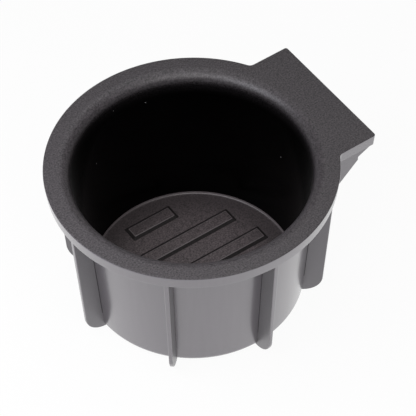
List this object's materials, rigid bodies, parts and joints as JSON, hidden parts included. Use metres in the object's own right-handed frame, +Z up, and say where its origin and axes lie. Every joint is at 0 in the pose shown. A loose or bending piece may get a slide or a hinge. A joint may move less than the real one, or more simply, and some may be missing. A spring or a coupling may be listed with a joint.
{
  "type": "car cup holder insert",
  "caption": "Black moulded plastic insert that drops into a car console to hold a drink: tapered cup, wide flat rim with a rectangular tab, upright outer fins and raised floor bars.",
  "frame": {"origin": "centre of the flat base underside, on the cup's axis", "axes": "+Z up out of the cup's mouth, +X along the tab, +Y across it"},
  "size_m": [0.117, 0.108, 0.0629],
  "materials": {
    "moulded_plastic": "black moulding, finely grained on the rim, tab and floor, smooth and satin on the walls and fins"
  },
  "bodies": {
    "root": {"cup_holder_insert": "moulded_plastic"}
  },
  "joints": []
}
